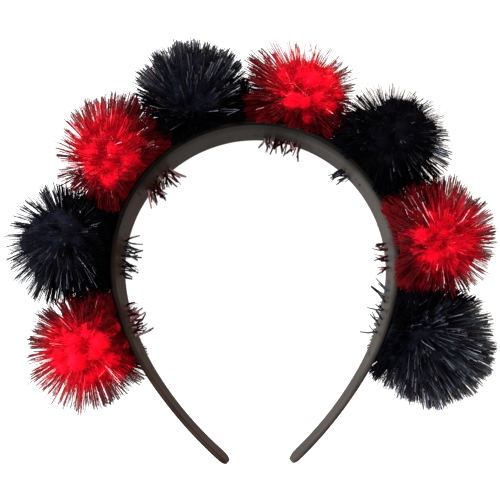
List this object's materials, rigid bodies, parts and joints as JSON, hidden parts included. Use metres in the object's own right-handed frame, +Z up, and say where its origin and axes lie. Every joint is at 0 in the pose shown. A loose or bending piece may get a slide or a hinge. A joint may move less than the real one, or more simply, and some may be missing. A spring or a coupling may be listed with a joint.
{
  "type": "tinsel headband",
  "caption": "Springy plastic headband lying on its side, wide at the crown and tapered to rounded tips, with red and black tinsel pompoms in turn round its outer face.",
  "frame": {"origin": "on the floor, under the middle of the headband's box as it lies on its side", "axes": "+Z up and across the band's width, +Y towards the crown of the band, +X to the right as the picture shows it"},
  "size_m": [0.212, 0.1858, 0.0501],
  "materials": {
    "band_plastic": "dark grey satin moulded plastic",
    "red_tinsel": "red tinsel film with fluffy red fibre",
    "black_tinsel": "black tinsel film with fluffy black fibre"
  },
  "bodies": {
    "root": {"band": "band_plastic", "pompom_1_red": "red_tinsel", "pompom_2_black": "black_tinsel", "pompom_3_red": "red_tinsel", "pompom_4_black": "black_tinsel", "pompom_5_red": "red_tinsel", "pompom_6_black": "black_tinsel", "pompom_7_red": "red_tinsel", "pompom_8_black": "black_tinsel", "tuft_1_red": "red_tinsel", "tuft_2_black": "black_tinsel", "tuft_3_red": "red_tinsel", "tuft_5_red": "red_tinsel", "tuft_6_black": "black_tinsel", "tuft_7_red": "red_tinsel", "tuft_8_black": "black_tinsel"}
  },
  "joints": []
}
